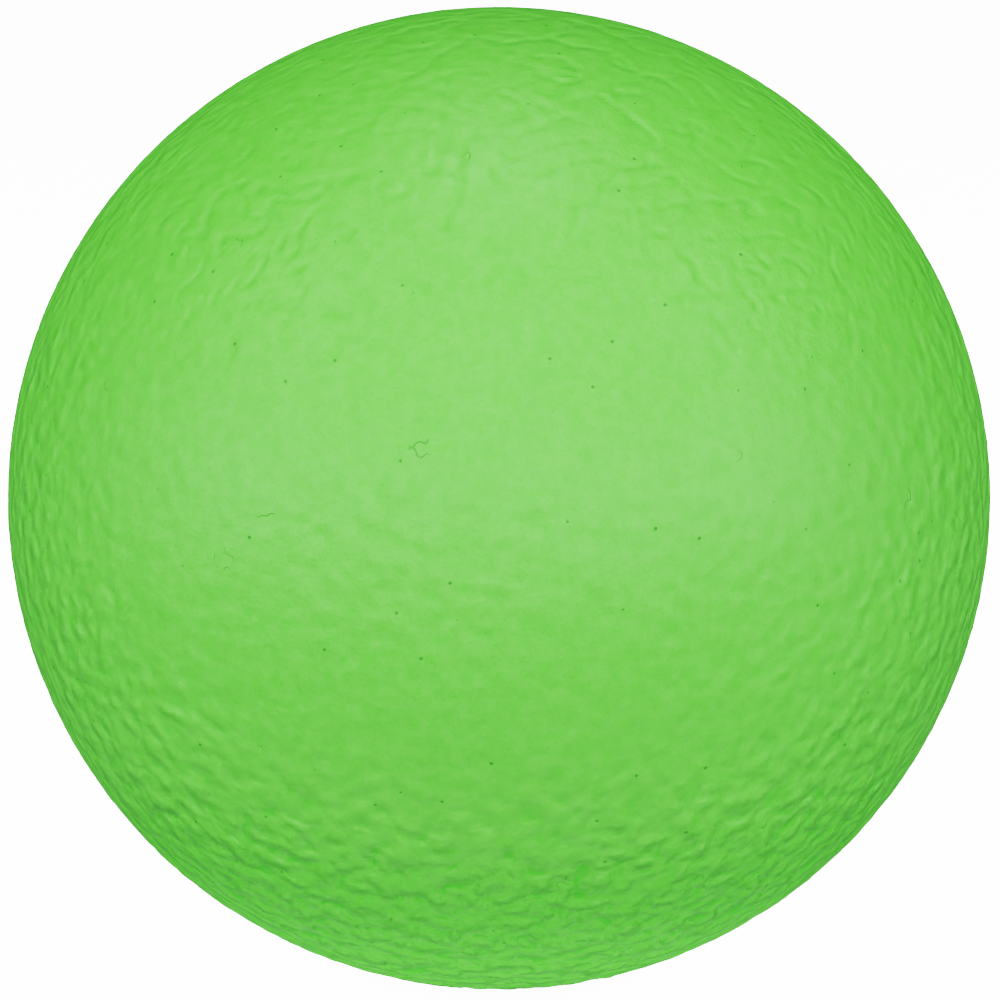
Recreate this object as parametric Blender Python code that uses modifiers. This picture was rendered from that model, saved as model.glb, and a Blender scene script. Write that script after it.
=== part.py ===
"""Foam stress ball: two moulded skin halves that meet at the parting line, round a foam core.

Metres, +Z up. The origin is the centre of the small flat that the ball rests on, which is
where the foam's pour gate was trimmed off. Squeezing moves the upper half straight down.
"""
import math

import bpy

# driving dimensions, in metres
BALL_RADIUS = 0.035          # outside of the skin
SKIN_THICKNESS = 0.0012      # dense outer layer that the mould wall leaves
REST_FLAT_RADIUS = 0.0045    # trimmed flat under the ball
GATE_RADIUS = 0.0025         # foam stub left in the pour gate
GAP = 0.0003                 # clearance between neighbouring pieces

# worked out from them
SKIN_INNER_RADIUS = BALL_RADIUS - SKIN_THICKNESS
CORE_RADIUS = SKIN_INNER_RADIUS - GAP
GATE_HOLE_RADIUS = GATE_RADIUS + GAP
CENTRE_HEIGHT = math.sqrt(BALL_RADIUS ** 2 - REST_FLAT_RADIUS ** 2)

# smoothness of the turned shapes
TURN_STEPS = 64              # facets round the vertical axis
QUARTER_STEPS = 16           # facets from the pole to the parting line
MERGE_DISTANCE = 0.00001
SHARP_ANGLE = math.radians(35)

COLLECTION_NAME = "stress_ball"


def clear_scene():
    """Remove every object that the open file holds."""
    for item in list(bpy.data.objects):
        bpy.data.objects.remove(item, do_unlink=True)


def make_collection():
    """Return an empty collection named for the object."""
    collection = bpy.data.collections.new(COLLECTION_NAME)
    bpy.context.scene.collection.children.link(collection)
    return collection


def make_material(name, colour, roughness):
    """Return a plain non-metallic Principled material."""
    material = bpy.data.materials.new(name)
    material.use_nodes = True
    shader = material.node_tree.nodes["Principled BSDF"]
    shader.inputs["Base Color"].default_value = (*colour, 1.0)
    shader.inputs["Roughness"].default_value = roughness
    shader.inputs["Metallic"].default_value = 0.0
    material.diffuse_color = (*colour, 1.0)
    return material


def arc(radius, start, end, steps):
    """Points (x, height) on a circle about the ball's centre, by angle down from the top pole."""
    points = []
    for step in range(steps + 1):
        angle = start + (end - start) * step / steps
        points.append((radius * math.sin(angle), CENTRE_HEIGHT + radius * math.cos(angle)))
    return points


def angle_at_height(radius, above_centre):
    """Angle from the top pole at which a circle stands this far above the ball's centre."""
    return math.acos(above_centre / radius)


def angle_near_bottom(radius, distance):
    """Angle from the top pole at which a circle comes back to this distance from the axis."""
    return math.pi - math.asin(distance / radius)


def on_axis(points):
    """Put the ends of a profile that reach the axis exactly on it."""
    return [(0.0 if abs(x) < MERGE_DISTANCE else x, height) for x, height in points]


def turned_piece(name, profile, closed, origin_height, material, collection):
    """Turn a profile about the vertical axis into one closed solid, smooth except at its edges."""
    points = [(x, 0.0, height - origin_height) for x, height in on_axis(profile)]
    edges = [(index, index + 1) for index in range(len(points) - 1)]
    if closed:
        edges.append((len(points) - 1, 0))
    outline = bpy.data.meshes.new(name + "_profile")
    outline.from_pydata(points, edges, [])
    piece = bpy.data.objects.new(name, outline)
    collection.objects.link(piece)

    screw = piece.modifiers.new("turn", "SCREW")
    screw.axis = "Z"
    screw.angle = math.tau
    screw.steps = TURN_STEPS
    screw.render_steps = TURN_STEPS
    screw.use_merge_vertices = True
    screw.merge_threshold = MERGE_DISTANCE

    evaluated = piece.evaluated_get(bpy.context.evaluated_depsgraph_get())
    solid = bpy.data.meshes.new_from_object(evaluated)
    piece.modifiers.clear()
    piece.data = solid
    bpy.data.meshes.remove(outline)
    solid.name = name
    solid.shade_smooth()
    solid.set_sharp_from_angle(angle=SHARP_ANGLE)
    solid.materials.append(material)
    piece.location = (0.0, 0.0, origin_height)
    return piece


def upper_skin_profile():
    """Dome: down the outside from the pole to the parting line, across the rim, up the inside."""
    rim = GAP / 2
    outside = arc(BALL_RADIUS, 0.0, angle_at_height(BALL_RADIUS, rim), QUARTER_STEPS)
    inside = arc(SKIN_INNER_RADIUS, angle_at_height(SKIN_INNER_RADIUS, rim), 0.0, QUARTER_STEPS)
    return outside + inside


def lower_skin_profile():
    """Bowl: down the outside to the resting flat, in to the gate hole, and up the inside."""
    rim = -GAP / 2
    outside = arc(BALL_RADIUS, angle_at_height(BALL_RADIUS, rim),
                  angle_near_bottom(BALL_RADIUS, REST_FLAT_RADIUS), QUARTER_STEPS)
    gate_edge = [(GATE_HOLE_RADIUS, 0.0)]
    inside = arc(SKIN_INNER_RADIUS, angle_near_bottom(SKIN_INNER_RADIUS, GATE_HOLE_RADIUS),
                 angle_at_height(SKIN_INNER_RADIUS, rim), QUARTER_STEPS)
    return outside + gate_edge + inside


def foam_core_profile():
    """Ball with a short stub below it that fills the gate hole and ends level with the flat."""
    ball = arc(CORE_RADIUS, 0.0, angle_near_bottom(CORE_RADIUS, GATE_RADIUS), 2 * QUARTER_STEPS)
    stub = [(GATE_RADIUS, 0.0), (0.0, 0.0)]
    return ball + stub


def build():
    """Make the three pieces, with the moving half under an empty on the squeeze axis."""
    clear_scene()
    collection = make_collection()
    skin = make_material("skin_green", (0.110, 0.540, 0.040), 0.48)
    foam = make_material("foam_pale_green", (0.340, 0.640, 0.220), 0.95)

    turned_piece("foam_core", foam_core_profile(), False, 0.0, foam, collection)
    turned_piece("lower_skin", lower_skin_profile(), True, 0.0, skin, collection)
    upper = turned_piece("upper_skin", upper_skin_profile(), False, CENTRE_HEIGHT, skin, collection)

    squeeze_axis = bpy.data.objects.new("squeeze_axis", None)
    squeeze_axis.empty_display_size = BALL_RADIUS
    squeeze_axis.location = (0.0, 0.0, CENTRE_HEIGHT)
    collection.objects.link(squeeze_axis)
    upper.location = (0.0, 0.0, 0.0)
    upper.parent = squeeze_axis
    bpy.context.view_layer.update()


build()
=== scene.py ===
"""Looks for the foam stress ball: a grained skin in two halves round an open-celled foam core.

Metres, +Z up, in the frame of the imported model. Lengths that are easier to read in
millimetres are written as a number times MM.
"""
import math

import bpy
import numpy as np
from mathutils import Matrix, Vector


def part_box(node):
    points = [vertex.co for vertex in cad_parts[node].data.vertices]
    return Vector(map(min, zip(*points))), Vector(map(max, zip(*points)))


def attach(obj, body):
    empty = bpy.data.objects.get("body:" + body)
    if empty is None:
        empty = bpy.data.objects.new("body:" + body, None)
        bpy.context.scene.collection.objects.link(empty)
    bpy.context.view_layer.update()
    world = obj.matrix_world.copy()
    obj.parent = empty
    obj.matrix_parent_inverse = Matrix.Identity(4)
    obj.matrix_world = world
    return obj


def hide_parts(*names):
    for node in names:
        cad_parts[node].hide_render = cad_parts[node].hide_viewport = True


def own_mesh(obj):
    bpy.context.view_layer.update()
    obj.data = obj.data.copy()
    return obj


MM = 0.001

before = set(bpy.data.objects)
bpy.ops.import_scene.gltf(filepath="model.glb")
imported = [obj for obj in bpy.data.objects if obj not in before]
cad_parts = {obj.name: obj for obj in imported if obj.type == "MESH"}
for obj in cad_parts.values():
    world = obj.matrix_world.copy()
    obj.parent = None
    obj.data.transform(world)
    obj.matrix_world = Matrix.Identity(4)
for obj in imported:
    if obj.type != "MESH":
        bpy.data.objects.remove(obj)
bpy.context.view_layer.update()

# ---------------------------------------------------------------- sizes, from the frame where it has them
upper_low, upper_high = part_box("upper_skin")
_, core_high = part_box("foam_core")

BALL_RADIUS = (upper_high.x - upper_low.x) / 2
TOP = upper_high.z
CENTRE = Vector((0.0, 0.0, TOP - BALL_RADIUS))
CORE_RADIUS = core_high.z - CENTRE.z
SKIN_THICKNESS = 1.2 * MM    # this and the gate are as in the CAD
SKIN_INNER_RADIUS = BALL_RADIUS - SKIN_THICKNESS
REST_FLAT_RADIUS = math.sqrt(BALL_RADIUS ** 2 - CENTRE.z ** 2)
GATE_HOLE_RADIUS = 2.8 * MM  # hole at the pole of the lower skin
GATE_STUB_RADIUS = 2.5 * MM  # foam that fills that hole
LIP_RECESS = 0.15 * MM       # half of the gap left between the two skins, behind their outer edge
LIP_DEPTH = 0.25 * MM        # how far in from the outside that gap starts

# ---------------------------------------------------------------- fineness of the meshes
# Every ball is made from the lattice on a cube. A ring is a square ring of its bottom face.
OUTER_CELLS = 85             # lattice cells from the middle of a cube face to its edge
INNER_CELLS = 17             # the same on the inside of the skin
CORE_CELLS = 48              # and on the foam core
CELLS_PER_INNER = OUTER_CELLS // INNER_CELLS
HOLE_RING = 10               # lattice ring on the bottom face that becomes the gate hole
FLAT_RING = 15               # ring that becomes the edge of the resting flat
INNER_HOLE_RING = HOLE_RING // CELLS_PER_INNER
STUB_RING = 5                # ring of the core's lattice that becomes the edge of the gate stub
STUB_FOOT = 1.001            # how much wider than the stub the next ring is
EVEN_FROM = 3                # rings are evenly spaced again this many times as far out as the last mark
ROUND_RINGS = 0.30           # share of the bottom face whose rings are true circles
SQUARE_RINGS = 0.85          # share from which the bottom face follows the plain lattice
TURN_SLACK = 1e-6            # radians below zero at which a point still counts as at angle zero

# ---------------------------------------------------------------- relief
RELIEF_SEED = 7
PEBBLE = 1.9 * MM            # width of one pebble of the grain
PEBBLE_DEPTH = 0.042 * MM
PEBBLE_FOOT = 0.03           # rounds the valleys between pebbles, which would be sharp without it
LUMP = 1.25 * MM             # lumps that break the pebbles up
SMALL_LUMP = 0.65 * MM
MEANDER = 1.8 * MM           # width of the wander of pebbles and folds
MEANDER_PUSH = 0.8 * MM
FOLD_SPACING = 3.8 * MM      # between the longer folds
FOLD_FLATTENING = 2.2        # folds run level more than upright
FOLD_WIDTH = 0.07            # noise value at which the ground beside a fold is level again
FOLD_DEPTH = 0.022 * MM
SWELL = 17.0 * MM            # width of the slow unevenness of the whole skin
SWELL_DEPTH = 0.01 * MM
FLAT_MARGIN = 2.5 * MM       # the relief dies away this far outside the resting flat
SHADED_RELIEF = 10.5         # the relief is shaded as if it were this many times as deep

# Shares of each kind of lump in the height of the grain
DOME_HEIGHT = 1.5
LUMP_HEIGHT = 1.1
SMALL_LUMP_HEIGHT = 0.4

# Shares of the same things in how hollow a place is, which its gloss and its painted shade and painted
# highlight depend on
VALLEY_HOLLOW = 0.8
LUMP_HOLLOW = 1.5
SMALL_LUMP_HOLLOW = 0.5
LEVEL_HOLLOW = 0.1           # taken off everywhere, so that level skin counts as neither crest nor hollow
FOLD_HOLLOW = 0.8
VALLEY_FLOOR = 0.03          # height of a dome up to which it is all valley
VALLEY_EDGE = 0.15           # and from which it is no longer one

# How strong the pebbles and folds are round the ball. Heights are shares of its radius above the middle.
TIGHT_SIDE = np.array([0.0, -0.84, 0.54])      # where the skin lay tightest on the mould
TIGHT_FROM = 0.75            # cosine of the angle from there within which the skin was tight
TIGHT_TO = 0.20              # and at which it was loose
LOW_FROM = -0.35             # pebbles get deeper from this height down
LOW_TO = -0.80
HIGH_FROM = 0.25             # folds get deeper from this height up
HIGH_TO = 0.6
PEBBLE_PATCH = 0.45          # width of patches of deeper pebbles, as a share of the radius
FOLD_PATCH = 0.6
PEBBLES_ALL_OVER = 0.16
PEBBLES_FROM_TIGHT = 0.92    # added away from the tight side
PEBBLES_LOW_DOWN = 1.25
PEBBLES_IN_PATCHES = 0.10
FOLDS_ALL_OVER = 0.05
FOLDS_HIGH_UP = 0.55
FOLDS_IN_PATCHES = 0.5

# Where in the noise each pattern starts, so that no two of them are alike
PATTERN = {"meander": 3.7, "pebble": 5.9, "lump": 2.2, "small_lump": 8.4, "fold": 6.6, "swell": 1.4,
           "pebble_patch": 4.1, "fold_patch": 9.2, "core_cell": 3.3}
AXIS_SHIFT = 7.3             # between the patterns that push a place along X, Y and Z

CORE_CELL = 1.3 * MM         # coarsest open cells of the foam
CORE_CELL_DEPTH = 0.16 * MM
CORE_CELL_FLOOR = 0.1        # how far from its seed a cell is at its deepest, in cell sizes
CORE_CELL_EDGE = 0.6         # and how far from it the foam is no longer sunk


def smooth(low, high, value):
    """Rise from 0 at low to 1 at high, with level ends."""
    share = np.clip((value - low) / (high - low), 0.0, 1.0)
    return share * share * (3 - 2 * share)


# ---------------------------------------------------------------- lattice spheres
def lattice(cells):
    """Points and outward quads of the surface of a cube lattice that runs from -cells to cells each way."""
    index = {}
    points = []
    quads = []

    def point(key):
        if key not in index:
            index[key] = len(points)
            points.append(key)
        return index[key]

    steps = range(-cells, cells)
    faces = (lambda a, b: (cells, a, b), lambda a, b: (-cells, -a, b),
             lambda a, b: (-a, cells, b), lambda a, b: (a, -cells, b),
             lambda a, b: (a, b, cells), lambda a, b: (a, -b, -cells))
    for corner in faces:
        for a in steps:
            for b in steps:
                quads.append((point(corner(a, b)), point(corner(a + 1, b)),
                              point(corner(a + 1, b + 1)), point(corner(a, b + 1))))
    return np.array(points), np.array(quads)


def bottom_rings(points, cells):
    """Which square ring of the bottom face each lattice point is on, or more than cells elsewhere."""
    ring = np.maximum(np.abs(points[:, 0]), np.abs(points[:, 1]))
    return np.where(points[:, 2] == -cells, ring, cells + 1)


def directions(points, cells, marks):
    """Unit vectors from the ball's centre to the lattice points.

    Rings of the bottom face become true circles near the pole. marks pins some of them to a radius,
    as (ring, radius, radius of the ball).
    """
    plain = np.tan(points / cells * math.pi / 4)
    plain = plain / np.linalg.norm(plain, axis=1, keepdims=True)
    ring = bottom_rings(points, cells)
    x = points[:, 0].astype(float)
    y = points[:, 1].astype(float)
    along_x = np.abs(x) >= np.abs(y)
    slope = np.where(along_x, y, x) / np.where(along_x, np.where(x == 0, 1, x), np.where(y == 0, 1, y))
    turn = np.where(along_x, math.pi / 4 * slope, math.pi / 2 - math.pi / 4 * slope)
    turn = turn + np.where(np.where(along_x, x, y) < 0, math.pi, 0)
    last = EVEN_FROM * marks[-1][0]
    known = [0] + [mark for mark, _, _ in marks] + [last, cells]
    angles = [0.0] + [math.asin(radius / ball) for _, radius, ball in marks]
    angles += [last / cells * math.pi / 4, math.pi / 4]
    tilt = np.interp(ring, known, angles)
    circles = np.stack([np.sin(tilt) * np.cos(turn), np.sin(tilt) * np.sin(turn), -np.cos(tilt)], 1)
    share = smooth(ROUND_RINGS, SQUARE_RINGS, ring / cells)[:, None]
    mixed = circles * (1 - share) + plain * share
    return mixed / np.linalg.norm(mixed, axis=1, keepdims=True)


# ---------------------------------------------------------------- noise fields
TABLE = 256                  # entries in each table of random numbers
random = np.random.default_rng(RELIEF_SEED)
shuffle = random.permutation(TABLE)
gradients = random.normal(size=(TABLE, 3))
gradients = gradients / np.linalg.norm(gradients, axis=1, keepdims=True)
seeds_in_cell = random.random((TABLE, 3))


def pick(corner):
    """A shuffled number from 0 up to TABLE for each whole-number corner."""
    first = shuffle[corner[:, 0] % TABLE]
    second = shuffle[(first + corner[:, 1]) % TABLE]
    return shuffle[(second + corner[:, 2]) % TABLE]


def gradient_noise(places, size, offset):
    """Smooth noise from about -0.7 to 0.7, with lumps about size across. offset picks another pattern."""
    scaled = places / size + offset
    corner = np.floor(scaled).astype(int)
    inside = scaled - corner
    fade = inside ** 3 * (inside * (inside * 6 - 15) + 10)
    total = np.zeros(len(places))
    for step in np.ndindex(2, 2, 2):
        step = np.array(step)
        push = np.einsum("ij,ij->i", gradients[pick(corner + step)], inside - step)
        weight = np.prod(np.where(step == 1, fade, 1 - fade), axis=1)
        total += push * weight
    return total


def nearest_seed(places, size, offset):
    """Distance to the nearest seed of an irregular pattern of cells, as a share of their size."""
    scaled = places / size + offset
    corner = np.floor(scaled).astype(int)
    nearest = np.full(len(places), np.inf)
    for step in np.ndindex(3, 3, 3):
        cell = corner + np.array(step) - 1
        distance = np.linalg.norm(cell + seeds_in_cell[pick(cell)] - scaled, axis=1)
        nearest = np.minimum(nearest, distance)
    return nearest


# ---------------------------------------------------------------- relief of the moulded skin
def warped(places, size, amount, offset):
    """Places pushed about by noise, so that patterns built on them meander."""
    pushes = [gradient_noise(places, size, offset + AXIS_SHIFT * axis) for axis in range(3)]
    return places + amount * np.stack(pushes, 1)


def pebble_strength(units):
    """How deep the pebbles are: deepest low on the ball, faint where the skin lay tight on the mould."""
    patches = gradient_noise(units, PEBBLE_PATCH, PATTERN["pebble_patch"])
    from_tight = 1 - smooth(TIGHT_TO, TIGHT_FROM, units @ TIGHT_SIDE)
    low = smooth(LOW_FROM, LOW_TO, units[:, 2])
    return (PEBBLES_ALL_OVER + PEBBLES_FROM_TIGHT * from_tight + PEBBLES_LOW_DOWN * low
            + PEBBLES_IN_PATCHES * patches)


def fold_strength(units):
    """How deep the longer folds are: most over the upper part of the ball, and in patches elsewhere."""
    patches = gradient_noise(units, FOLD_PATCH, PATTERN["fold_patch"])
    high = smooth(HIGH_FROM, HIGH_TO, units[:, 2])
    return np.maximum(0.0, FOLDS_ALL_OVER + FOLDS_HIGH_UP * high + FOLDS_IN_PATCHES * patches)


def relief(units):
    """How high the skin stands over the plain ball, how hollow it is and how strong its grain is."""
    places = units * BALL_RADIUS
    loose = warped(places, MEANDER, MEANDER_PUSH, PATTERN["meander"])
    domes = np.hypot(gradient_noise(loose, PEBBLE, PATTERN["pebble"]), PEBBLE_FOOT)
    lumps = gradient_noise(loose, LUMP, PATTERN["lump"])
    small_lumps = gradient_noise(places, SMALL_LUMP, PATTERN["small_lump"])
    pebbles = DOME_HEIGHT * domes + LUMP_HEIGHT * lumps + SMALL_LUMP_HEIGHT * small_lumps
    stretched = loose * np.array([1.0, 1.0, FOLD_FLATTENING])
    course = np.abs(gradient_noise(stretched, FOLD_SPACING, PATTERN["fold"]))
    fold = 1 - smooth(0.0, FOLD_WIDTH, course)
    swell = gradient_noise(places, SWELL, PATTERN["swell"])
    strength = pebble_strength(units)
    folding = fold_strength(units)
    height = SWELL_DEPTH * swell + PEBBLE_DEPTH * strength * pebbles - FOLD_DEPTH * folding * fold

    valley = 1 - smooth(VALLEY_FLOOR, VALLEY_EDGE, domes)
    hollow = VALLEY_HOLLOW * valley - LUMP_HOLLOW * lumps - SMALL_LUMP_HOLLOW * small_lumps - LEVEL_HOLLOW
    # The skin's colour takes painted shade in the hollows and painted highlight on the crests from this
    cavity = strength * hollow + FOLD_HOLLOW * folding * fold
    from_flat = np.linalg.norm(places[:, :2], axis=1) - REST_FLAT_RADIUS
    fade = np.where(units[:, 2] < 0, smooth(0.0, FLAT_MARGIN, from_flat), 1.0)
    return height * fade, cavity, strength


# ---------------------------------------------------------------- pieces
def point_normals(points, quads):
    """Normals of a closed mesh of quads at its points."""
    across = points[quads[:, 2]] - points[quads[:, 0]]
    down = points[quads[:, 3]] - points[quads[:, 1]]
    face_normals = np.cross(across, down)
    total = np.zeros_like(points)
    for corner in range(4):
        np.add.at(total, quads[:, corner], face_normals)
    return total / np.linalg.norm(total, axis=1, keepdims=True)


def in_order(points, chosen):
    """Indices of the chosen points, in order of their angle about the vertical axis."""
    found = np.nonzero(chosen)[0]
    turn = np.arctan2(points[found, 1], points[found, 0])
    turn = np.where(turn < -TURN_SLACK, turn + math.tau, turn)
    return found[np.argsort(turn)]


def join_rings(fine, coarse):
    """Triangles from a ring of points to one with fewer points, both starting at the same angle."""
    ratio = len(fine) // len(coarse)
    faces = []
    for step, here in enumerate(coarse):
        first = step * ratio - ratio // 2
        near = [fine[(first + part) % len(fine)] for part in range(ratio + 1)]
        faces += [(near[part], near[part + 1], here) for part in range(ratio)]
        faces.append((here, near[-1], coarse[(step + 1) % len(coarse)]))
    return faces


def half_faces(points, quads, rings, hole_ring, side):
    """The quads of a lattice that are on one side of the parting line and outside the gate hole."""
    on_side = np.all(points[quads][:, :, 2] * side >= 0, axis=1)
    outside_hole = np.any(rings[quads] > hole_ring, axis=1)
    return quads[on_side & outside_hole]


def without_spares(count, faces):
    """Which of count points the faces use, and the faces with their corners numbered among those."""
    used = np.zeros(count, bool)
    for face in faces:
        used[list(face)] = True
    place = np.cumsum(used) - 1
    return used, [[int(place[corner]) for corner in face] for face in faces]


def new_mesh_object(name, points, faces, material, normals=None, **values):
    """A smooth mesh object. Its rest place and the named values are stored for its material."""
    mesh = bpy.data.meshes.new(name)
    mesh.from_pydata(points.tolist(), [], faces)
    mesh.shade_smooth()
    rest = mesh.attributes.new("rest_place", "FLOAT_VECTOR", "POINT")
    rest.data.foreach_set("vector", points.astype(np.float32).ravel())
    for key, numbers in values.items():
        attribute = mesh.attributes.new(key, "FLOAT", "POINT")
        attribute.data.foreach_set("value", numbers.astype(np.float32))
    if normals is not None:
        mesh.normals_split_custom_set_from_vertices(normals.tolist())
    mesh.materials.append(material)
    piece = bpy.data.objects.new(name, mesh)
    bpy.context.scene.collection.objects.link(piece)
    return piece


def skin_halves(material):
    """The two closed halves of the skin, cut from one grained ball so that they meet without a step."""
    outer, outer_quads = lattice(OUTER_CELLS)
    outer_units = directions(outer, OUTER_CELLS, [(HOLE_RING, GATE_HOLE_RADIUS, BALL_RADIUS),
                                                  (FLAT_RING, REST_FLAT_RADIUS, BALL_RADIUS)])
    height, cavity, grain = relief(outer_units)
    outside = np.array(CENTRE) + outer_units * (BALL_RADIUS + height)[:, None]
    rings = bottom_rings(outer, OUTER_CELLS)
    outside[rings <= FLAT_RING, 2] = 0.0
    shaded = np.array(CENTRE) + outer_units * (BALL_RADIUS + SHADED_RELIEF * height)[:, None]
    normals = point_normals(np.where(rings[:, None] <= FLAT_RING, outside, shaded), outer_quads)
    inner, inner_quads = lattice(INNER_CELLS)
    inner_units = directions(inner, INNER_CELLS, [(INNER_HOLE_RING, GATE_HOLE_RADIUS, SKIN_INNER_RADIUS)])
    inside = np.array(CENTRE) + inner_units * SKIN_INNER_RADIUS
    inner_rings = bottom_rings(inner, INNER_CELLS)

    halves = []
    for name, side in (("grained_skin_upper", 1), ("grained_skin_lower", -1)):
        halves.append(skin_half(name, side, material,
                                (outer, outer_quads, outside, normals, cavity, grain, rings),
                                (inner, inner_quads, inside, inner_units, inner_rings)))
    return halves


def skin_half(name, side, material, outer_part, inner_part):
    """One closed half of the skin: grained outside, lip at the parting line, plain inside."""
    outer, outer_quads, outside, normals, cavity, grain, rings = outer_part
    inner, inner_quads, inside, inner_units, inner_rings = inner_part
    outer_faces = half_faces(outer, outer_quads, rings, HOLE_RING, side)
    inner_faces = half_faces(inner, inner_quads, inner_rings, INNER_HOLE_RING, side)
    inside = inside.copy()
    inside[inner[:, 2] == 0, 2] += side * LIP_RECESS
    edge = in_order(outside, outer[:, 2] == 0)
    lip = outside[edge].copy()
    outward = lip[:, :2] / np.linalg.norm(lip[:, :2], axis=1, keepdims=True)
    lip[:, :2] -= LIP_DEPTH * outward
    lip[:, 2] += side * LIP_RECESS

    inner_start = len(outside)
    lip_start = inner_start + len(inside)
    points = np.concatenate([outside, inside, lip])
    lip_line = lip_start + np.arange(len(lip))
    inner_line = inner_start + in_order(inside, inner[:, 2] == 0)
    rim = [(edge[step - 1], lip_line[step - 1], lip_line[step], edge[step]) for step in range(len(edge))]
    rim += join_rings(lip_line, inner_line)
    if side > 0:
        rim = [face[::-1] for face in rim]
    faces = [tuple(face) for face in outer_faces]
    faces += [tuple(inner_start + face[::-1]) for face in inner_faces]
    faces += rim
    if side < 0:
        hole = in_order(outside, rings == HOLE_RING)
        inner_hole = inner_start + in_order(inside, inner_rings == INNER_HOLE_RING)
        faces += [face[::-1] for face in join_rings(hole, inner_hole)]

    used, faces = without_spares(len(points), faces)
    lip_normals = np.tile([0.0, 0.0, -float(side)], (len(lip), 1))
    all_normals = np.concatenate([normals, -inner_units, lip_normals])
    plain = np.zeros(len(inside) + len(lip))
    cavities = np.concatenate([cavity, plain])
    grains = np.concatenate([grain, plain])
    return new_mesh_object(name, points[used], faces, material, all_normals[used],
                           cavity=cavities[used], grain=grains[used])


def foam_core(name, material):
    """The foam ball with the short stub that fills the gate hole and is trimmed level with the flat."""
    points, quads = lattice(CORE_CELLS)
    marks = [(STUB_RING, GATE_STUB_RADIUS, CORE_RADIUS),
             (STUB_RING + 1, STUB_FOOT * GATE_STUB_RADIUS, CORE_RADIUS)]
    units = directions(points, CORE_CELLS, marks)
    nearest = nearest_seed(units * CORE_RADIUS, CORE_CELL, PATTERN["core_cell"])
    from_stub = np.linalg.norm(units[:, :2], axis=1) * CORE_RADIUS - GATE_STUB_RADIUS
    fade = np.where(units[:, 2] < 0, smooth(0.0, FLAT_MARGIN, from_stub), 1.0)
    depth = CORE_CELL_DEPTH * fade * (1 - smooth(CORE_CELL_FLOOR, CORE_CELL_EDGE, nearest))
    places = np.array(CENTRE) + units * (CORE_RADIUS - depth)[:, None]
    rings = bottom_rings(points, CORE_CELLS)
    trimmed = rings <= STUB_RING
    turn = np.arctan2(units[:, 1], units[:, 0])
    radius = GATE_STUB_RADIUS * rings / STUB_RING
    face = np.stack([radius * np.cos(turn), radius * np.sin(turn), np.zeros(len(points))], 1)
    places[trimmed] = face[trimmed]
    return new_mesh_object(name, places, quads.tolist(), material)


# ---------------------------------------------------------------- materials
NOISE_MIDDLE = 0.5           # middle of what a noise texture gives
MIX_FIRST = 6                # sockets of a mix node that are for colours
MIX_SECOND = 7
MIX_RESULT = 2


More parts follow.
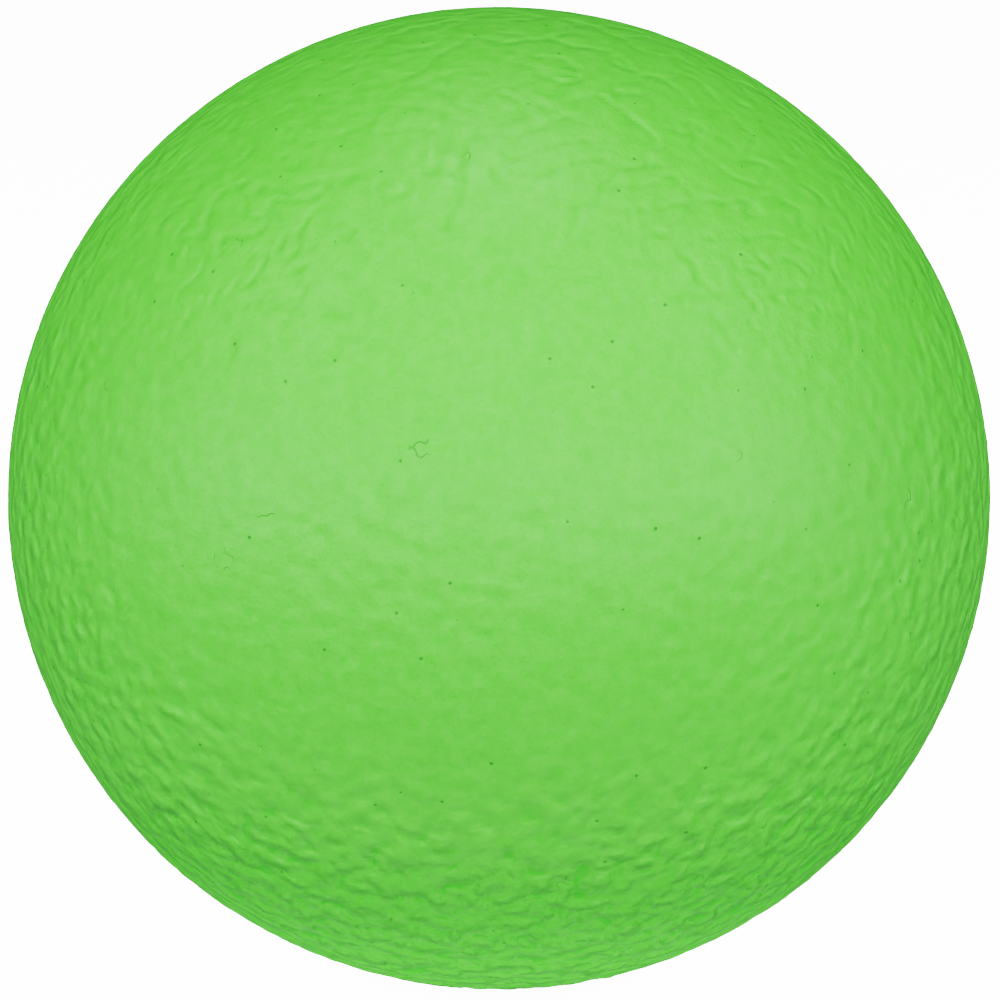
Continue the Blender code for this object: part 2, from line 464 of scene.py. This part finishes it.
class Nodes:
    """Short ways to add and join shader nodes."""

    def __init__(self, name):
        self.material = bpy.data.materials.new(name)
        self.material.use_nodes = True
        self.tree = self.material.node_tree
        self.shader = self.tree.nodes["Principled BSDF"]

    def add(self, kind, settings=None, **inputs):
        """Add a node; inputs are by socket name with _ for a space, and are values or sockets."""
        node = self.tree.nodes.new(kind)
        for key, value in (settings or {}).items():
            setattr(node, key, value)
        for key, value in inputs.items():
            self.put(node.inputs[key.replace("_", " ")], value)
        return node

    def put(self, socket, value):
        """Join a socket to another, or set it to a constant."""
        if isinstance(value, bpy.types.NodeSocket):
            self.tree.links.new(value, socket)
        else:
            socket.default_value = value

    def math(self, operation, *values):
        """One step of arithmetic."""
        node = self.add("ShaderNodeMath", {"operation": operation})
        for socket, value in zip(node.inputs, values):
            self.put(socket, value)
        return node.outputs[0]

    def between(self, value, limits, out_low=0.0, out_high=1.0):
        """Map value from its two limits to out_low and out_high, clamped, with level ends."""
        node = self.add("ShaderNodeMapRange", {"interpolation_type": "SMOOTHSTEP"})
        self.put(node.inputs["Value"], value)
        self.put(node.inputs["From Min"], limits[0])
        self.put(node.inputs["From Max"], limits[1])
        self.put(node.inputs["To Min"], out_low)
        self.put(node.inputs["To Max"], out_high)
        return node.outputs[0]

    def mix(self, share, first, second):
        """The first colour at share 0 and the second at share 1."""
        node = self.add("ShaderNodeMix", {"data_type": "RGBA"})
        self.put(node.inputs[0], share)
        self.put(node.inputs[MIX_FIRST], first)
        self.put(node.inputs[MIX_SECOND], second)
        return node.outputs[MIX_RESULT]

    def attribute(self, name):
        """A number stored at the points of the mesh."""
        return self.add("ShaderNodeAttribute", {"attribute_name": name}).outputs["Fac"]

    def place_in_mm(self):
        """The surface's rest place in millimetres, so that patterns stay put when the ball is squeezed."""
        rest = self.add("ShaderNodeAttribute", {"attribute_name": "rest_place"})
        scaled = self.add("ShaderNodeVectorMath", {"operation": "SCALE"})
        self.put(scaled.inputs[0], rest.outputs["Vector"])
        self.put(scaled.inputs["Scale"], 1 / MM)
        return scaled.outputs[0]

    def noise(self, place, size, detail=2.0, roughness=0.5):
        """Noise whose features are about size across, in millimetres."""
        node = self.add("ShaderNodeTexNoise", Vector=place, Scale=1 / size, Detail=detail)
        self.put(node.inputs["Roughness"], roughness)
        return node.outputs["Fac"]

    def cells(self, place, size):
        """Distance to the nearest seed of irregular cells about size across, as a share of the size."""
        node = self.add("ShaderNodeTexVoronoi", {"feature": "F1"}, Vector=place, Scale=1 / size)
        self.put(node.inputs["Randomness"], 1.0)
        return node.outputs["Distance"]

    def lines(self, noise, limits):
        """One along the winding lines where noise is at its middle, falling to zero between the limits."""
        off_line = self.math("ABSOLUTE", self.math("SUBTRACT", noise, NOISE_MIDDLE))
        return self.between(off_line, limits, 1.0, 0.0)

    def dots(self, place, spacing, limits):
        """One at the seeds of irregular cells, falling to zero between the limits, in cell sizes."""
        return self.between(self.cells(place, spacing), limits, 1.0, 0.0)

    def warp(self, place, size, amount):
        """A place pushed about by noise, in millimetres."""
        noise = self.add("ShaderNodeTexNoise", Vector=place, Scale=1 / size, Detail=1.0)
        centred = self.add("ShaderNodeVectorMath", {"operation": "SUBTRACT"})
        self.put(centred.inputs[0], noise.outputs["Color"])
        self.put(centred.inputs[1], (NOISE_MIDDLE, NOISE_MIDDLE, NOISE_MIDDLE))
        pushed = self.add("ShaderNodeVectorMath", {"operation": "MULTIPLY_ADD"})
        self.put(pushed.inputs[0], centred.outputs[0])
        self.put(pushed.inputs[1], (amount, amount, amount))
        self.put(pushed.inputs[2], place)
        return pushed.outputs[0]

    def bump(self, height, distance, normal=None):
        """Normals of a relief that is distance deep where height goes from 0 to 1."""
        node = self.add("ShaderNodeBump", Strength=1.0, Distance=distance, Height=height)
        if normal is not None:
            self.put(node.inputs["Normal"], normal)
        return node.outputs[0]


SKIN_BASE = (0.104, 0.540, 0.049, 1.0)
# Darker green painted on as shade: in the hollows of the grain, along creases, in the hollows of the fine
# grain and low on the ball where the grain is strongest
SKIN_PAINTED_SHADE = (0.046, 0.460, 0.012, 1.0)
# Paler green painted on as highlight: on the crests of the grain, on the raised fine grain and as sparse
# glints
SKIN_PAINTED_HIGHLIGHT = (0.150, 0.590, 0.085, 1.0)
SKIN_PALE = (0.122, 0.556, 0.062, 1.0)
# Dark green for the pinholes, painted shade inside them, and for the hair marks
PINHOLE_SHADE_AND_HAIR = (0.040, 0.300, 0.014, 1.0)
FOAM_PORE_SHADE = (0.120, 0.330, 0.070, 1.0)
FOAM_WALL = (0.340, 0.640, 0.220, 1.0)

# Sizes of the marks in the materials, in millimetres
# The specks below are painted glints
WANDER = 1.3                 # noise that makes specks, lumps and swells wander
WANDER_PUSH = 0.9
MOTTLE = 0.9
PAPER = 0.26                 # finest grain, like paper
# Spacing of the pale specks, which are painted glints
GLINT_SPACING = 3.2
FINE_SWELL = 1.2
FINE_LUMP = 0.8
CREASE_BREAK = 1.4           # length of the stretches into which creases are broken
PIN_SPACING = 2.2
HAIR_CURL = 1.3
HAIR_SPACING = 8.0
GLOSS_PATCH = 2.2
FOAM_PORE_SPACING = 0.55

# Values of each pattern between which its mark starts and is full
MOTTLE_LIMITS = (0.35, 0.65)
# The fine grain is painted paler where its bump stands high and darker where it is low: painted highlight
# and painted shade
PAPER_CREST_LIMITS = (0.56, 0.78)
PAPER_DEEP_LIMITS = (0.44, 0.22)
# Hollowness at which the painted highlight on the crests starts and is full
PAINTED_HIGHLIGHT_LIMITS = (-0.2, -2.4)
# Hollowness, and then strength of the grain, at which the painted shade starts and is full
PAINTED_SHADE_LIMITS = (-0.1, 2.4)
LOW_SHADE_LIMITS = (0.8, 2.4)
BREAK_LIMITS = (0.45, 0.60)
GLOSS_LIMITS = (0.3, 0.7)
HOLLOW_LIMITS = (-0.2, 0.9)
FOAM_PORE_LIMITS = (0.15, 0.55)

# How far from its middle each line or dot is full, and how far from it it ends
GLINT_LIMITS = (0.05, 0.10)
PIN_LIMITS = (0.035, 0.065)
CREASE_LIMITS = (0.0, 0.05)
HAIR_LINE_LIMITS = (0.005, 0.018)
HAIR_PATCH_LIMITS = (0.085, 0.115)

# How far each kind of mark colours the skin
GLINT_SHARE = 0.5
PAPER_CREST_SHARE = 0.35
PAPER_DEEP_SHARE = 0.42
# Painted shade, darker low on the ball where the grain is strongest
LOW_SHADE_SHARE = 0.50           # where the grain is strongest
CREASE_SHARE = 0.15
HAIR_SHARE = 0.65

# How deep each kind of mark is shaded
PAPER_BUMP = 0.022 * MM
GRAIN_BUMP = 0.12 * MM
MARK_BUMP = 0.05 * MM
FOAM_BUMP = 0.15 * MM

GLOSSY_ROUGHNESS = 0.40
DULL_ROUGHNESS = 0.48
HOLLOW_ROUGHNESS = 0.25      # added in hollows
FOAM_ROUGHNESS = 0.95


def skin_paint(n, place, pushed, paper, cavity, grain):
    """Colour of the skin: mottled, with painted glints, painted highlight on the crests and on the raised
    fine grain, and painted shade in the valleys, in the hollows of the fine grain and low on the ball where
    the grain is strongest.
    """
    mottle = n.noise(place, MOTTLE, detail=3.0, roughness=0.6)
    colour = n.mix(n.between(mottle, MOTTLE_LIMITS), SKIN_BASE, SKIN_PALE)
    # Painted highlight on the raised fine grain, then painted shade in its hollows
    colour = n.mix(n.between(paper, PAPER_CREST_LIMITS, 0.0, PAPER_CREST_SHARE), colour, SKIN_PAINTED_HIGHLIGHT)
    colour = n.mix(n.between(paper, PAPER_DEEP_LIMITS, 0.0, PAPER_DEEP_SHARE), colour, SKIN_PAINTED_SHADE)
    # Pale specks: painted glints
    painted_glint = n.dots(pushed, GLINT_SPACING, GLINT_LIMITS)
    colour = n.mix(n.math("MULTIPLY", painted_glint, GLINT_SHARE), colour, SKIN_PAINTED_HIGHLIGHT)
    # Painted highlight on the crests of the grain
    painted_highlight = n.between(cavity, PAINTED_HIGHLIGHT_LIMITS)
    colour = n.mix(painted_highlight, colour, SKIN_PAINTED_HIGHLIGHT)
    # Painted shade in the hollows between the pebbles, and low on the ball where the grain is strongest
    low_painted_shade = n.between(grain, LOW_SHADE_LIMITS, 0.0, LOW_SHADE_SHARE)
    valley = n.between(cavity, PAINTED_SHADE_LIMITS)
    return n.mix(n.math("MAXIMUM", low_painted_shade, valley), colour, SKIN_PAINTED_SHADE)


def skin_marks(n, place):
    """One in the pinholes, whose darkness is painted shade inside them, and, more weakly, along curled
    marks like hairs.
    """
    pin = n.dots(place, PIN_SPACING, PIN_LIMITS)
    hair_line = n.lines(n.noise(place, HAIR_CURL, detail=1.0), HAIR_LINE_LIMITS)
    hair_patch = n.dots(place, HAIR_SPACING, HAIR_PATCH_LIMITS)
    hair = n.math("MULTIPLY", hair_line, hair_patch)
    return n.math("MAXIMUM", pin, n.math("MULTIPLY", hair, HAIR_SHARE))


def skin_material():
    """Satin green moulded skin with fine grain, painted glints, creases and pinholes darkened with painted
    shade, and hair marks.
    """
    n = Nodes("stress_ball_skin")
    place = n.place_in_mm()
    pushed = n.warp(place, WANDER, WANDER_PUSH)
    paper = n.noise(place, PAPER, detail=2.0, roughness=0.7)
    swells = n.noise(pushed, FINE_SWELL, detail=1.0)
    lumps = n.noise(pushed, FINE_LUMP, detail=1.0)
    cavity = n.attribute("cavity")
    grain = n.attribute("grain")

    broken = n.between(n.noise(place, CREASE_BREAK, detail=1.0), BREAK_LIMITS)
    crease = n.math("MULTIPLY", n.lines(swells, CREASE_LIMITS), n.math("MULTIPLY", broken, grain))
    mark = skin_marks(n, place)
    colour = skin_paint(n, place, pushed, paper, cavity, grain)
    # Painted shade along the creases
    colour = n.mix(n.math("MULTIPLY", crease, CREASE_SHARE), colour, SKIN_PAINTED_SHADE)
    # Pinholes darkened as painted shade, and hair marks
    n.put(n.shader.inputs["Base Color"], n.mix(mark, colour, PINHOLE_SHADE_AND_HAIR))

    rough = n.between(n.noise(place, GLOSS_PATCH), GLOSS_LIMITS, GLOSSY_ROUGHNESS, DULL_ROUGHNESS)
    hollow = n.math("MAXIMUM", n.between(cavity, HOLLOW_LIMITS), crease)
    rough = n.math("ADD", rough, n.math("MULTIPLY", hollow, HOLLOW_ROUGHNESS))
    n.put(n.shader.inputs["Roughness"], rough)

    normal = n.bump(paper, PAPER_BUMP)
    normal = n.bump(n.math("MULTIPLY", lumps, grain), GRAIN_BUMP, normal)
    normal = n.bump(n.math("MULTIPLY", swells, grain), GRAIN_BUMP, normal)
    normal = n.bump(n.math("SUBTRACT", 1.0, mark), MARK_BUMP, normal)
    n.put(n.shader.inputs["Normal"], normal)
    return n.material


def foam_material():
    """Pale green open-cell foam, darker in the pores as painted shade."""
    n = Nodes("stress_ball_foam")
    pores = n.cells(n.place_in_mm(), FOAM_PORE_SPACING)
    # Pores darkened as painted shade
    colour = n.mix(n.between(pores, FOAM_PORE_LIMITS), FOAM_PORE_SHADE, FOAM_WALL)
    n.put(n.shader.inputs["Base Color"], colour)
    n.put(n.shader.inputs["Roughness"], FOAM_ROUGHNESS)
    n.put(n.shader.inputs["Normal"], n.bump(pores, FOAM_BUMP))
    return n.material


# ---------------------------------------------------------------- studio
LIGHT_DISTANCE = 0.8         # metres, like every length of the studio
LIGHT_SIZE = 0.4
LOW_ROW = 8                  # degrees above level
HIGH_ROW = 45
OVERHEAD = 88
FRONT_WATTS = 1.57
SIDE_WATTS = 1.51
EDGE_WATTS = 1.30
HIGH_WATTS = 1.49
TOP_WATTS = 1.98

# Name of each row of lights, their azimuths in degrees, their elevation, and the watts of each light
LIGHT_ROWS = (("front", (-30, 0, 30), LOW_ROW, FRONT_WATTS),
              ("side", (-60, 60), LOW_ROW, SIDE_WATTS),
              ("edge", (-90, 90), LOW_ROW, EDGE_WATTS),
              ("high", (-60, 0, 60), HIGH_ROW, HIGH_WATTS),
              ("top", (0,), OVERHEAD, TOP_WATTS))
ROW_WITHOUT_HIGHLIGHT = "edge"
PADS = ((0.40, 0.14), (0.12, 0.004), (0.06, 0.0078))       # across, and watts, from the floor up
PAD_STEP = 0.0005            # from the floor to the first pad, and from each to the next

WHITE = (1.0, 1.0, 1.0, 1.0)
FLOOR_HALF_SIDE = 4.0
FLOOR_CARD = (0.2, 0.2, 0.2, 1.0)              # the floor as the ball is lit by it
FLOOR_IN_GLOSS = 0.07                          # how bright it is in the ball's highlights
FLOOR_PAPER = (6.0, 6.0, 6.0, 1.0)             # and as the overexposed picture shows it
FLOOR_GLOW = 6.0
ROOM_GLOW = 16.0                               # the room behind it, in the picture


def from_centre(azimuth, elevation, distance):
    """A place round the ball. Azimuth 0 is in front, towards -Y, and 90 is to the right, towards +X."""
    a = math.radians(azimuth)
    e = math.radians(elevation)
    direction = Vector((math.cos(e) * math.sin(a), -math.cos(e) * math.cos(a), math.sin(e)))
    return CENTRE + direction * distance


def aim(thing, target):
    """Turn a light or camera to look at target."""
    thing.rotation_euler = (target - thing.location).to_track_quat("-Z", "Y").to_euler()


def soft_light(name, place, target, size, watts, mirrored=True):
    """A round white diffuser that the camera doesn't see, and that gives no highlight unless mirrored."""
    lamp = bpy.data.lights.new(name, "AREA")
    lamp.shape = "DISK"
    lamp.size = size
    lamp.energy = watts
    holder = bpy.data.objects.new(name, lamp)
    holder.location = place
    holder.visible_camera = False
    holder.visible_glossy = mirrored
    bpy.context.scene.collection.objects.link(holder)
    aim(holder, target)


def studio_lights():
    """A wall of soft light in front and above, and faintly glowing pads under the ball."""
    for row, azimuths, elevation, watts in LIGHT_ROWS:
        for azimuth in azimuths:
            place = from_centre(azimuth, elevation, LIGHT_DISTANCE)
            soft_light(f"{row}_light_{azimuth}", place, CENTRE, LIGHT_SIZE, watts,
                       mirrored=row != ROW_WITHOUT_HIGHLIGHT)
    for step, (size, watts) in enumerate(PADS):
        place = Vector((0.0, 0.0, PAD_STEP * (step + 1)))
        soft_light(f"pad_light_{step}", place, CENTRE, size, watts, mirrored=False)


def floor_material():
    """Floor that the lens sees overexposed, like white paper, and that lights the ball as grey card."""
    n = Nodes("studio_floor")
    n.tree.nodes.remove(n.shader)
    path = n.add("ShaderNodeLightPath")
    card = n.add("ShaderNodeBsdfDiffuse", Color=FLOOR_CARD)
    mirrored = n.add("ShaderNodeEmission", Color=WHITE, Strength=FLOOR_IN_GLOSS)
    indirect = n.add("ShaderNodeMixShader")
    n.tree.links.new(path.outputs["Is Glossy Ray"], indirect.inputs[0])
    n.tree.links.new(card.outputs[0], indirect.inputs[1])
    n.tree.links.new(mirrored.outputs[0], indirect.inputs[2])
    paper = n.add("ShaderNodeBsdfDiffuse", Color=FLOOR_PAPER)
    glow = n.add("ShaderNodeEmission", Color=WHITE, Strength=FLOOR_GLOW)
    lit = n.add("ShaderNodeAddShader")
    n.tree.links.new(paper.outputs[0], lit.inputs[0])
    n.tree.links.new(glow.outputs[0], lit.inputs[1])
    both = n.add("ShaderNodeMixShader")
    n.tree.links.new(path.outputs["Is Camera Ray"], both.inputs[0])
    n.tree.links.new(indirect.outputs[0], both.inputs[1])
    n.tree.links.new(lit.outputs[0], both.inputs[2])
    output = next(node for node in n.tree.nodes if node.type == "OUTPUT_MATERIAL")
    n.tree.links.new(both.outputs[0], output.inputs["Surface"])
    return n.material


def studio_floor():
    """A level white floor at the height of the resting flat."""
    side = FLOOR_HALF_SIDE
    mesh = bpy.data.meshes.new("studio_floor")
    corners = [(-side, -side, 0.0), (side, -side, 0.0), (side, side, 0.0), (-side, side, 0.0)]
    mesh.from_pydata(corners, [], [(0, 1, 2, 3)])
    mesh.materials.append(floor_material())
    floor = bpy.data.objects.new("studio_floor", mesh)
    bpy.context.scene.collection.objects.link(floor)


def studio_world():
    """White room that the camera sees, without adding light of its own to the ball."""
    world = bpy.data.worlds.new("studio_world")
    world.use_nodes = True
    tree = world.node_tree
    background = tree.nodes["Background"]
    background.inputs["Color"].default_value = WHITE
    path = tree.nodes.new("ShaderNodeLightPath")
    strength = tree.nodes.new("ShaderNodeMath")
    strength.operation = "MULTIPLY"
    strength.inputs[1].default_value = ROOM_GLOW
    tree.links.new(path.outputs["Is Camera Ray"], strength.inputs[0])
    tree.links.new(strength.outputs[0], background.inputs["Strength"])
    bpy.context.scene.world = world


CAMERA_ELEVATION = 10.0      # degrees
LENS_MM = 200.0
SENSOR_MM = 36.0
DISC_SHARE = 0.98248         # diameter of the ball's outline over the side of the picture
SHIFT_X = 0.00094            # sideways and upward shift of the lens, as shares of the same side
SHIFT_Y = -0.0021
NEAR_CLIP = 0.01


def camera():
    """A long lens close to level, with the ball filling the picture."""
    data = bpy.data.cameras.new("camera")
    data.lens = LENS_MM
    data.sensor_width = SENSOR_MM
    half_angle = math.atan(DISC_SHARE * SENSOR_MM / 2 / LENS_MM)
    distance = BALL_RADIUS / math.sin(half_angle)
    data.shift_x = SHIFT_X
    data.shift_y = SHIFT_Y
    data.clip_start = NEAR_CLIP
    holder = bpy.data.objects.new("camera", data)
    holder.location = from_centre(0, CAMERA_ELEVATION, distance)
    bpy.context.scene.collection.objects.link(holder)
    aim(holder, CENTRE)
    bpy.context.scene.camera = holder


def film():
    """A camera's usual gentle shoulder."""
    settings = bpy.context.scene.view_settings
    settings.view_transform = "Filmic"
    settings.look = "High Contrast"


# ---------------------------------------------------------------- assembly
def assemble():
    """Make the three pieces, hang them on the bodies they ride with, and hide the CAD pieces."""
    skin = skin_material()
    foam = foam_material()
    upper, lower = skin_halves(skin)
    core = foam_core("open_cell_core", foam)

    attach(upper, "upper_half")
    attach(lower, "lower_half")
    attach(core, "lower_half")
    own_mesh(upper)
    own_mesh(lower)
    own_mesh(core)
    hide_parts("upper_skin")
    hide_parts("lower_skin")
    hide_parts("foam_core")


camera()
film()
studio_world()
studio_floor()
studio_lights()
assemble()
